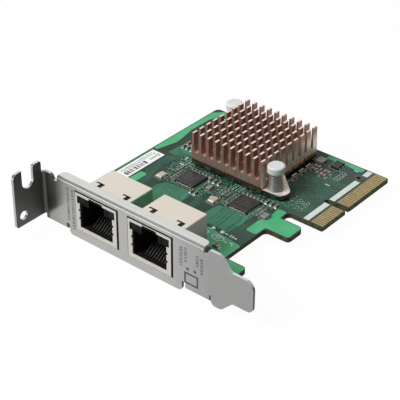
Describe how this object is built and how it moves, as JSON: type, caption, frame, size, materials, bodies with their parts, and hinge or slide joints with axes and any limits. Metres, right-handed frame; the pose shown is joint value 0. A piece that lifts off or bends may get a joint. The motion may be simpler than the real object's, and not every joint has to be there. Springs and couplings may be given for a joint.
{
  "type": "network interface card",
  "caption": "Low-profile expansion card with two jacks in a folded steel bracket, a pin-fin heatsink on push pins and a notched gold edge connector.",
  "frame": {"origin": "corner datum of the expansion slot: the outer face of the mounting tab, the front face of the bracket and the lower edge of the bracket", "axes": "+X along the bracket from the mounting tab to the edge connector and the tail, +Y from the bracket's front face to the rear of the card, +Z out of the component side"},
  "size_m": [0.0788, 0.0936, 0.0225],
  "materials": {
    "bracket_steel": "satin zinc-plated sheet",
    "shield_steel": "matt tin-plated sheet",
    "board_green": "green solder mask over glass laminate",
    "contact_gold": "gold plate",
    "screw_steel": "zinc-plated screw",
    "heatsink_copper": "copper-coloured anodised extrusion",
    "chip_black": "moulded epoxy",
    "pad_grey": "soft thermal pad",
    "pin_white": "white nylon",
    "spring_steel": "drawn spring wire",
    "crystal_metal": "pale metal can",
    "solder_tin": "tin",
    "inductor_grey": "pressed ferrite",
    "ceramic_tan": "fired ceramic with tin ends",
    "resistor_black": "black glaze with tin ends",
    "insert_black": "moulded black plastic",
    "light_pipe": "clear moulded plastic",
    "paper_white": "paper label"
  },
  "bodies": {
    "root": {"bottom_edge_pads": "contact_gold", "bracket": "bracket_steel", "bracket_screws": "screw_steel", "bulk_capacitors": "ceramic_tan", "ceramic_capacitors": "ceramic_tan", "chip_resistors": "resistor_black", "circuit_board": "board_green", "controller_chip": "chip_black", "core_inductor": "inductor_grey", "edge_inductor": "inductor_grey", "filter_capacitors": "ceramic_tan", "front_pin_spring": "spring_steel", "front_push_pin": "pin_white", "heatsink": "heatsink_copper", "left_crystal": "crystal_metal", "left_jack_contacts": "contact_gold", "left_jack_insert": "insert_black", "left_jack_shield": "shield_steel", "left_light_pipes": "light_pipe", "left_network_chip": "chip_black", "left_solder_tails": "solder_tin", "memory_chip": "chip_black", "memory_leads": "solder_tin", "paper_label": "paper_white", "power_inductor": "inductor_grey", "rear_pin_spring": "spring_steel", "rear_push_pin": "pin_white", "right_crystal": "crystal_metal", "right_jack_contacts": "contact_gold", "right_jack_insert": "insert_black", "right_jack_shield": "shield_steel", "right_light_pipes": "light_pipe", "right_network_chip": "chip_black", "right_solder_tails": "solder_tin", "thermal_pad": "pad_grey", "top_edge_pads": "contact_gold"}
  },
  "joints": []
}
